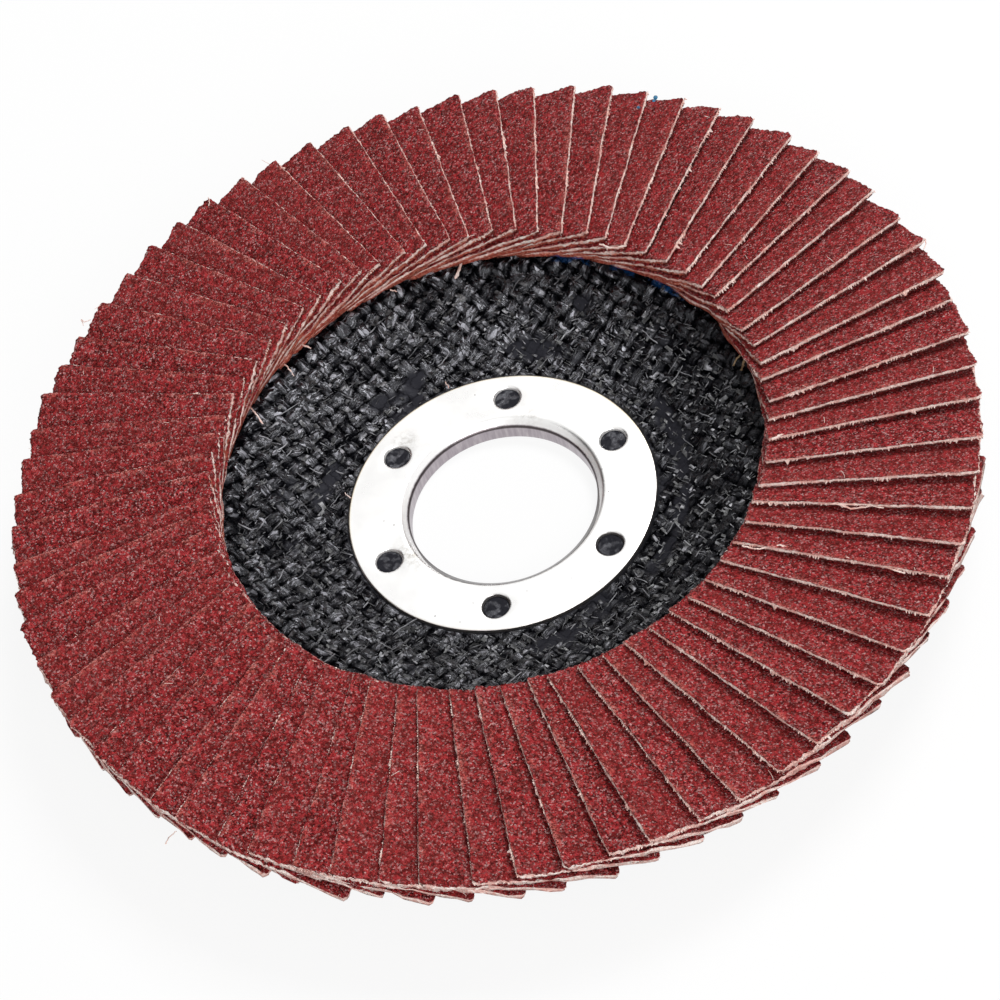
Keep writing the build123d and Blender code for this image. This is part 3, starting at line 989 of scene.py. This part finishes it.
def strewn_slivers_tree():
    """Strews broken slivers over the woven face, most of them along its two yarn directions."""
    g, given = geometry_tree("strewn_slivers", {
        "Slivers per area": float, "Length": float, "Width": float, "Thickness": float,
        "Yarn direction": float, "Stray": float, "Lift": float, "Start": float, "End": float,
        "Rings": int, "Bend": float, "Seed": int, "Glass": str})
    normal = g.add("GeometryNodeInputNormal").outputs[0]
    x, y, _ = g.xyz(g.position())
    radius = g.from_axis(x, y)
    bare = g.times(g.math("GREATER_THAN", radius, given["Start"]),
                   g.math("LESS_THAN", radius, given["End"]))
    bare = g.times(bare, g.math("GREATER_THAN", g.xyz(normal)[2], 0.2))
    spots = g.add("GeometryNodeDistributePointsOnFaces", given["Geometry"],
                  given={"Selection": g.math("GREATER_THAN", bare, 0.5),
                         "Density": given["Slivers per area"], "Seed": given["Seed"]})
    size = g.vector(given["Length"], given["Width"], given["Thickness"])
    sliver = g.add("GeometryNodeMeshCube", size, given["Rings"])

    def chance(low, high, salt):
        """A draw for each sliver."""
        return g.chance(low, high, g.plus(given["Seed"], float(salt)))

    crosswise = g.times(g.math("ROUND", chance(0.0, 1.0, 1)), pi / 2)
    astray = g.times(chance(-1.0, 1.0, 2), given["Stray"])
    turn = g.plus(g.plus(given["Yarn direction"], crosswise), astray)
    tip = g.times(chance(-1.0, 1.0, 3), given["Lift"])
    roll = g.times(chance(-1.0, 1.0, 7), given["Lift"])
    flat = g.add("FunctionNodeEulerToRotation", g.vector(roll, tip, turn))
    strewn = g.add("GeometryNodeInstanceOnPoints", spots, None, sliver, given={"Rotation": flat,
                   "Scale": g.vector(chance(0.4, 1.3, 4), chance(0.5, 1.4, 5), chance(0.6, 1.5, 6))})
    bent = g.moved(g.realized(strewn), g.scaled(g.drift(g.position(), 750, 1.0), given["Bend"]))
    return close_tree(g, g.made_of(bent, given["Glass"]))


slivers = strewn_slivers_tree()
for name, per_area, length, width, thickness, stray, lift, rings, seed, glass in (
        ("loose_filaments", 9.0e5, 1.1, 0.075, 0.06, 0.5, 0.2, 3, 5, coated_glass),
        ("long_filaments", 4.5e4, 3.4, 0.09, 0.09, 0.25, 0.05, 9, 6, bared_glass),
        ("resin_flakes", 5.0e5, 0.9, 0.34, 0.09, 0.3, 0.3, 2, 7, flaked_resin)):
    piece = grow(name, plate.data, slivers, {
        "Slivers per area": per_area, "Length": length * MM, "Width": width * MM,
        "Thickness": thickness * MM, "Yarn direction": YARN_DIRECTION, "Stray": stray, "Lift": lift,
        "Start": 18.9 * MM, "End": 31.3 * MM, "Rings": rings, "Bend": 0.55 * MM, "Seed": seed,
        "Glass": glass})
    settle(piece, "plate_resin")

# ------------------------------------------------------------------------------------- arbor ring


KEY_HOLE_DISH = ((1.9, 0), (1.8, -0.012), (1.7, -0.045), (1.62, -0.11), (1.56, -0.2), (1.52, -0.32),
                 (1.51, -0.6))  # radius and height in millimetres


def ring_sector():
    """A sixth of the ring with one dished key hole, its top at height 0 and the hole at angle 0."""
    steps, side_steps = 44, 14
    angles = [tau / KEY_HOLES * (k / steps - 0.5) for k in range(steps + 1)]
    collar_end, collar_back = COLLAR_RECESS - RING_TOP, BORE_RADIUS + RING_SHEET
    mouth = rounded_path([(12.4 * MM, 0, 0), (BORE_RADIUS + MOUTH_LEAD, 0, 0.6 * MM),
                          (BORE_RADIUS, -MOUTH_LEAD, 0.35 * MM), (BORE_RADIUS, collar_end, 0.15 * MM),
                          (collar_back, collar_end, 0.1 * MM), (collar_back, -1.15 * MM, 0.3 * MM),
                          (12.3 * MM, -RING_SHEET, 0)], 0.3 * MM)
    rim = rounded_path([(18.0 * MM, -RING_SHEET, 0), (RING_RADIUS, -RING_SHEET, 0.12 * MM),
                        (RING_RADIUS, 0, 0.16 * MM), (18.0 * MM, 0, 0)], 0.2 * MM)
    places, faces = [], []

    def point(x, y, height):
        places.append((x, y, height))
        return len(places) - 1

    def turned(radius, angle, height):
        return point(radius * cos(angle), radius * sin(angle), height)

    def strip(upper, lower, closed=False):
        """Faces between two rows of points, the second to the right of the first as they run."""
        count = len(upper) if closed else len(upper) - 1
        for k in range(count):
            n = (k + 1) % len(upper)
            faces.append((upper[k], lower[k], lower[n], upper[n]))

    mouth_rows = [[turned(p.x, angle, p.y) for angle in angles] for p in mouth]
    rim_rows = [[turned(p.x, angle, p.y) for angle in angles] for p in rim]
    for first, after in zip(mouth_rows, mouth_rows[1:]):
        strip(after, first)
    for first, after in zip(rim_rows, rim_rows[1:]):
        strip(after, first)

    def border(inner, outer, height, inner_row, outer_row):
        """The loop of points round a flange face, counter-clockwise seen from above."""
        radii = [inner + (outer - inner) * k / side_steps for k in range(1, side_steps)]
        right = [turned(radius, angles[-1], height) for radius in radii]
        left = [turned(radius, angles[0], height) for radius in radii]
        return inner_row[::-1] + left + outer_row + right[::-1]

    def loop_round_hole(loop, size, height):
        """A point on a circle round the key hole for each point of the loop outside it."""
        ways = [atan2(places[spot][1], places[spot][0] - KEY_CIRCLE_RADIUS) for spot in loop]
        return [point(KEY_CIRCLE_RADIUS + size * cos(way), size * sin(way), height) for way in ways]

    def between(loop, hole_loop, share, height):
        spots = [Vector(places[a]).lerp(Vector(places[b]), share) for a, b in zip(loop, hole_loop)]
        return [point(spot.x, spot.y, height) for spot in spots]

    top = border(mouth[0].x, rim[-1].x, 0, mouth_rows[0], rim_rows[-1])
    hole = [loop_round_hole(top, size * MM, height * MM) for size, height in KEY_HOLE_DISH]
    rows = [top] + [between(top, hole[0], share, 0) for share in (0.25, 0.5, 0.75)] + hole
    for first, after in zip(rows, rows[1:]):
        strip(after, first, closed=True)
    under = border(mouth[-1].x, rim[0].x, -RING_SHEET, mouth_rows[-1], rim_rows[0])
    strip(under, hole[-1], closed=True)
    return plain_mesh("ring_sector", places, faces)


def arbor_ring_tree():
    """Turns one sector with its key hole into the whole ring, with the faint waves of a pressing."""
    g, given = geometry_tree("arbor_ring", {"Key holes": int, "First key hole": float, "Top": float,
                                            "Waviness": float, "Steel": str})
    points = g.add("GeometryNodePoints", given["Key holes"])
    index = g.add("GeometryNodeInputIndex")
    turn = g.plus(given["First key hole"], g.over(g.times(index, tau), given["Key holes"]))
    sectors = g.add("GeometryNodeInstanceOnPoints", points, None, given["Geometry"],
                    given={"Rotation": g.vector(0.0, 0.0, turn)})
    whole = g.welded(g.realized(sectors))
    wave = g.times(g.minus(g.noise(g.position(), 170, 1.0), 0.5), given["Waviness"])
    raised = g.moved(whole, g.vector(0.0, 0.0, g.plus(given["Top"], wave)))
    return close_tree(g, g.made_of(g.smooth(raised), given["Steel"]))


ring = grow("pressed_ring", ring_sector(), arbor_ring_tree(), {
    "Key holes": KEY_HOLES, "First key hole": FIRST_KEY_HOLE, "Top": RING_TOP, "Waviness": 0.03 * MM,
    "Steel": ring_steel})
settle(ring, "ring_steel", "arbor_ring")

# ----------------------------------------------------------------------------------- adhesive bed


def bed_shell():
    """The adhesive, with the edge of the glass mesh pressed up into it at the foot of the flaps."""
    level = RIM_TOP + INNER_SEAT - 0.1 * MM
    fine = rounded_path([(BED_START - 0.4 * MM, RIM_TOP - 0.5 * MM, 0),
                         (BED_START + 0.75 * MM, level, 0.6 * MM), (32.4 * MM, level, 0)], 0.16 * MM)
    outer = rounded_path([(34 * MM, level, 0), (BED_END, RIM_TOP + OUTER_SEAT - 0.06 * MM, 0.3 * MM),
                          (BED_END, RIM_TOP, 0), (BED_START + 1 * MM, RIM_TOP - 0.5 * MM, 0)], 1.5 * MM)
    return shell_of_rings("bed_shell", fine, outer)


bed = grow("glue_bed", bed_shell(), weave, {
    **weave_values, "Weave start": 29.6 * MM, "Weave end": 33.2 * MM, "Keys": 0, "Resin": adhesive})
settle(bed, "adhesive", "adhesive_bed")

# ----------------------------------------------------------------------- loose threads and crumbs


def path_mesh(name, paths):
    """Bare lines of points in millimetres; each path is a thickness and its points."""
    places, edges, thick = [], [], []
    for thickness, *points in paths:
        start = len(places)
        places += [Vector(point) * MM for point in points]
        edges += [(start + k, start + k + 1) for k in range(len(points) - 1)]
        thick += [thickness * MM] * len(points)
    mesh = bpy.data.meshes.new(name)
    mesh.from_pydata([tuple(place) for place in places], edges, [])
    point_values(mesh, "thickness", thick)
    return mesh


def frayed_threads_tree():
    """Follows each path with a few strands of cotton that part and rejoin."""
    g, given = geometry_tree("frayed_threads", {
        "Strands": int, "Spread": float, "Wiggle": float, "Seed": int, "Thread": str})
    line = g.add("GeometryNodeMeshToCurve", given["Geometry"])
    bent = g.add("GeometryNodeCurveSplineType", line, spline_type="CATMULL_ROM")
    copies = g.add("GeometryNodeDuplicateElements", bent, None, given["Strands"], domain="SPLINE")
    strand = g.store(copies.outputs[0], "strand", copies.outputs[1], domain="CURVE")
    even = g.add("GeometryNodeResampleCurve", strand, None, 14)
    number, thickness = g.named("strand"), g.named("thickness")
    along = g.add("GeometryNodeSplineParameter").outputs["Factor"]
    place = g.position()
    apart = g.vector(g.times(number, 0.37), g.times(number, -0.71),
                     g.plus(g.times(number, 0.53), given["Seed"]))
    own_place = g.vectors("ADD", g.vectors("MULTIPLY", place, (500, 500, 500)), apart)
    parting = g.drift(own_place, 3.0, 2.0, 0.6)
    spread = g.times(given["Spread"], g.blend(along, 0.45, 1.0))
    push = g.scaled(parting, g.times(spread, g.over(thickness, 0.1 * MM)))
    curled = g.moved(g.moved(even, push), g.scaled(g.drift(place, 2600, 1.0), given["Wiggle"]))
    taper = g.times(thickness, g.blend(along, 1.0, 0.55))
    sized = g.add("GeometryNodeSetCurveRadius", curled, None, taper)
    ring = g.add("GeometryNodeCurvePrimitiveCircle", given={"Resolution": 5, "Radius": 1.0})
    body = g.add("GeometryNodeCurveToMesh",
                 given={"Curve": sized, "Profile Curve": ring, "Fill Caps": True})
    g.feed(body.inputs["Scale"], taper)
    return close_tree(g, g.made_of(g.realized(g.smooth(body)), given["Thread"]))


pale_paths = [
    (0.07, (33.4, -22.3, 12.85), (35.2, -23.3, 12.95), (37.0, -23.9, 12.85), (39.0, -25.3, 12.9)),
    (0.08, (34.6, -22.7, 12.9), (35.6, -23.9, 12.8), (37.7, -24.5, 12.9)),
    (0.08, (32.8, -29.7, 12.85), (34.2, -30.9, 12.9), (36.2, -32.3, 12.8), (38.3, -34.2, 12.85)),
    (0.07, (23.2, -24.1, 12.8), (24.7, -25.2, 12.85), (26.6, -25.5, 12.9)),
    (0.09, (20.5, 23.9, 12.9), (21.6, 22.6, 13.0), (23.3, 22.2, 13.05)),
    (0.17, (3.9, 32.9, 8.9), (4.3, 31.8, 8.7), (3.8, 31.0, 8.4), (3.1, 30.2, 8.1)),
    (0.08, (-24.9, 20.6, 8.6), (-24.4, 19.5, 8.5), (-24.0, 17.9, 8.0)),
    (0.05, (-44.4, -33.7, 9.0), (-45.2, -34.1, 8.9), (-45.6, -34.6, 9.1), (-45.9, -34.8, 8.8)),
    (0.05, (-40.5, 38.9, 12.0), (-41.2, 38.8, 12.1), (-41.6, 39.4, 12.0), (-41.4, 38.5, 11.9)),
    (0.05, (-22.9, 49.9, 13.0), (-22.6, 50.7, 13.1), (-22.7, 51.3, 13.1)),
    (0.05, (55.0, 7.7, 12.6), (55.6, 8.4, 12.6), (55.7, 9.1, 12.7)),
    (0.08, (-19.5, 25.3, 8.6), (-19.2, 24.6, 8.2), (-18.9, 23.9, 7.6)),
    (0.09, (-16.8, 27.1, 8.8), (-16.4, 26.8, 8.6), (-16.0, 26.6, 8.4)),
    (0.08, (-4.8, 31.3, 8.6), (-4.4, 31.1, 8.4), (-4.1, 31.0, 8.2)),
    (0.08, (-10.9, 32.4, 9.6), (-11.1, 31.8, 9.3), (-11.0, 31.3, 8.8)),
    (0.05, (-17.2, 8.0, 3.1), (-17.0, 7.5, 3.15), (-16.7, 7.1, 3.05)),
    (0.05, (-1.9, 19.2, 3.3), (-1.85, 18.7, 3.2), (-1.8, 18.3, 3.1)),
    (0.13, (30.6, -11.7, 12.9), (31.3, -11.6, 12.95), (32.0, -11.6, 12.9)),
    (0.10, (26.6, -25.6, 12.9), (27.1, -25.8, 12.95), (27.6, -26.1, 12.9)),
]
tan_paths = [
    (0.10, (31.9, 5.7, 8.7), (32.0, 4.7, 8.6), (31.5, 3.8, 8.3), (30.9, 3.0, 8.0)),
    (0.07, (31.8, 4.6, 8.6), (31.0, 4.7, 8.2), (30.3, 4.2, 7.8)),
]
for name, paths, strands, spread, wiggle, seed, thread in (
        ("pale_threads", pale_paths, 10, 0.45, 0.32, 3, cotton_thread),
        ("tan_threads", tan_paths, 8, 0.8, 0.4, 8, tan_thread)):
    piece = grow(name, path_mesh(name + "_paths", paths), frayed_threads_tree(), {
        "Strands": strands, "Spread": spread * MM, "Wiggle": wiggle * MM, "Seed": seed,
        "Thread": thread})
    settle(piece, "abrasive_cloth")


def crumbs_tree():
    """A lump on every point, of the point's own size, pressed flat and left uneven."""
    g, given = geometry_tree("crumbs", {
        "Flatness": float, "Unevenness": float, "Seed": int, "Stuff": str})
    size = g.named("thickness")
    lump = g.add("GeometryNodeMeshIcoSphere", given={"Radius": 1.0, "Subdivisions": 2})
    turn = g.vector(0.0, 0.0, g.chance(0.0, 6.28, given["Seed"]))
    flat = g.vector(size, g.times(size, 0.75), g.times(size, given["Flatness"]))
    laid = g.add("GeometryNodeInstanceOnPoints", given["Geometry"], None, lump,
                 given={"Rotation": turn, "Scale": flat})
    push = g.scaled(g.drift(g.position(), 6000, 2.0), given["Unevenness"])
    return close_tree(g, g.made_of(g.moved(g.realized(laid), push), given["Stuff"]))


dark_spots = [(0.11, 0.91, 16.14), (0.09, -13.76, 2.36), (0.11, -12.78, 1.34), (0.09, -6.74, -12.87),
              (0.12, -11.29, -12.93), (0.08, -8.79, -14.82), (0.09, 12.15, -0.43), (0.1, 11.95, -3.84),
              (0.08, 14.45, -2.64), (0.07, 7.1, -10.68), (0.11, 7.62, -15.64), (0.09, 4.78, -13.89),
              (0.08, -0.51, -13.64)]
blue_spots = [(0.36, (33.2, 43.5, 13.1)), (0.28, (32.9, 43.1, 13.1)), (0.26, (30.82, 42.8, 13.1))]
on_ring = [(size * 0.75, (x, y, 2.96)) for size, x, y in dark_spots]
for name, spots, flatness, unevenness, seed, stuff, slot in (
        ("dark_crumbs", on_ring, 0.5, 0.05, 2, dark_crumb, "adhesive"),
        ("blue_crumbs", blue_spots, 0.35, 0.2, 4, blue_paint, "abrasive_cloth")):
    piece = grow(name, path_mesh(name + "_spots", spots), crumbs_tree(), {
        "Flatness": flatness, "Unevenness": unevenness * MM, "Seed": seed, "Stuff": stuff})
    settle(piece, slot)

# ------------------------------------------------------------------------------------------- stage


WHITE = (1, 1, 1, 1)
SQUARE = ((-1, -1), (1, -1), (1, 1), (-1, 1))
FLOOR_REACH = 4


def seen_outright(g):
    """1 for the camera, for a reflection and through glass, and 0 for all other light."""
    path = g.add("ShaderNodeLightPath")
    return g.math("MAXIMUM", path.outputs["Is Camera Ray"],
                  g.math("MAXIMUM", path.outputs["Is Glossy Ray"], path.outputs["Is Transmission Ray"]))


def white_sky(dim):
    """White where it is seen outright, and a dimmer light for everything else."""
    world = bpy.data.worlds.new("studio")
    world.use_nodes = True
    world.node_tree.nodes.clear()
    g = Tree(world.node_tree)
    sky = g.add("ShaderNodeBackground", WHITE, g.blend(seen_outright(g), dim, 1.0))
    g.add("ShaderNodeOutputWorld", sky)
    bpy.context.scene.world = world


def floor_finish():
    """Pale paper that keeps the disc's shadow and is nearly white where it is seen outright."""
    material, g = finish_tree("studio_floor")
    shown = g.times(seen_outright(g), 0.88)
    paper = g.add("ShaderNodeBsdfDiffuse", (0.9, 0.9, 0.9, 1))
    glow = g.add("ShaderNodeEmission", WHITE, 1.0)
    g.add("ShaderNodeOutputMaterial", g.add("ShaderNodeMixShader", shown, paper, glow))
    return material


def paper_finish(name, grey):
    material, g = finish_tree(name)
    g.add("ShaderNodeOutputMaterial", g.add("ShaderNodeBsdfDiffuse", (grey, grey, grey, 1)))
    return material


def stage_sheet(name, corners, material):
    mesh = plain_mesh(name, corners, [(0, 1, 2, 3)])
    mesh.materials.append(material)
    sheet = bpy.data.objects.new(name, mesh)
    bpy.context.scene.collection.objects.link(sheet)


def softbox(name, where, size, power):
    """A square lamp that faces the disc."""
    light = bpy.data.lights.new(name, "AREA")
    light.shape, light.size, light.energy = "SQUARE", size, power
    lamp = bpy.data.objects.new(name, light)
    facing = Vector(where).to_track_quat("Z", "Y").to_matrix().to_4x4()
    lamp.matrix_world = Matrix.Translation(where) @ facing
    bpy.context.scene.collection.objects.link(lamp)


def card(name, middle, width, height, grey):
    """A card that faces the disc, which bright things on its side show."""
    toward = Vector(middle).normalized()
    level = Vector((-toward.y, toward.x, 0)).normalized() * (width / 2)
    upright = toward.cross(level).normalized() * (height / 2)
    corners = [Vector(middle) + level * a + upright * b for a, b in SQUARE]
    stage_sheet(name, corners, paper_finish(name + "_paper", grey))


white_sky(0.38)
stage_sheet("studio_floor", [(FLOOR_REACH * a, FLOOR_REACH * b, 0) for a, b in SQUARE], floor_finish())
softbox("key_softbox", (0.38, 0.32, 0.68), 0.32, 4.8)
softbox("fill_softbox", (0.06, -0.68, 0.42), 0.5, 3.2)
card("black_card", (-0.52, 0.38, 0.40), 0.68, 0.54, 0.01)

bpy.context.scene.view_settings.view_transform = "Standard"
